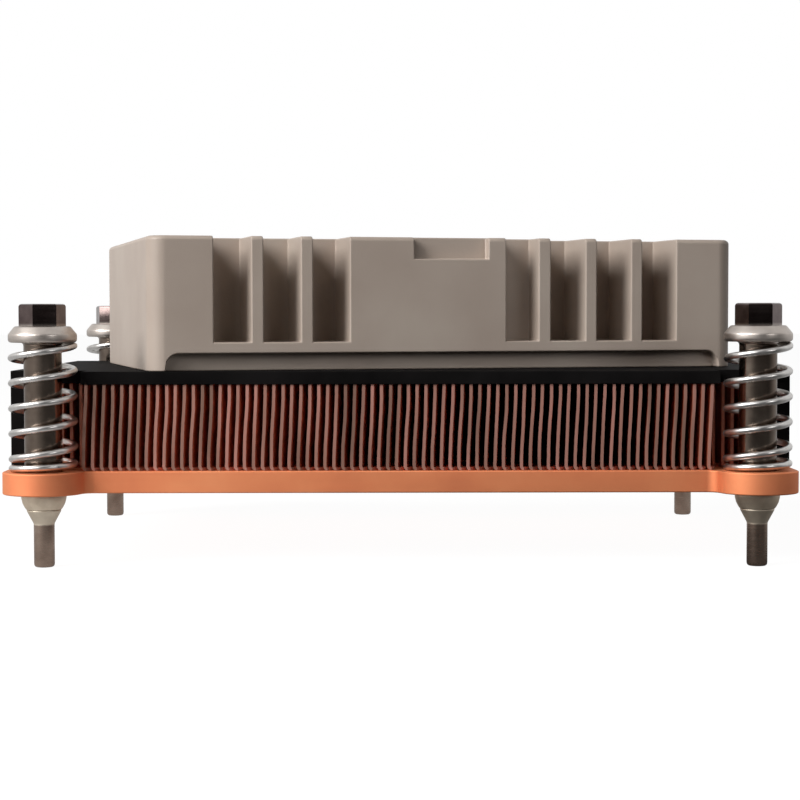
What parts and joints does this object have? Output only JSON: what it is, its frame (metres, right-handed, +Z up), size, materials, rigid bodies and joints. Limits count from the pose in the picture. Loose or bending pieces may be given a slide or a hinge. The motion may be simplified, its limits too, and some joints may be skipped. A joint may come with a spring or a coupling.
{
  "type": "passive server cpu heatsink",
  "caption": "Passive copper heatsink for a server processor: plate with corner ears, fin block, folded film, moulded cap and captive spring screws.",
  "frame": {"origin": "centre of the base plate's underside, the face that meets the processor", "axes": "+X along the plate's long side, +Y along the fins, +Z up through the fins to the screw heads"},
  "size_m": [0.1076, 0.0796, 0.0448],
  "materials": {
    "copper_plate": "milled bare copper, brass stands in for it",
    "copper_fin": "thin bare copper sheet, brass stands in for it",
    "black_film": "satin black polyester film",
    "taupe_plastic": "matt moulded plastic, warm grey",
    "screw_steel": "turned steel, dull plating",
    "spring_steel": "bright spring wire",
    "retainer_steel": "plain steel collar"
  },
  "bodies": {
    "root": {"base_plate": "copper_plate", "fin_stack_centre": "copper_fin", "fin_stack_left": "copper_fin", "fin_stack_right": "copper_fin", "insulating_film": "black_film", "cap": "taupe_plastic", "screw_front_left": "screw_steel", "screw_front_right": "screw_steel", "screw_rear_left": "screw_steel", "screw_rear_right": "screw_steel", "spring_front_left": "spring_steel", "spring_front_right": "spring_steel", "spring_rear_left": "spring_steel", "spring_rear_right": "spring_steel", "retainer_front_left": "retainer_steel", "retainer_front_right": "retainer_steel", "retainer_rear_left": "retainer_steel", "retainer_rear_right": "retainer_steel"}
  },
  "joints": []
}
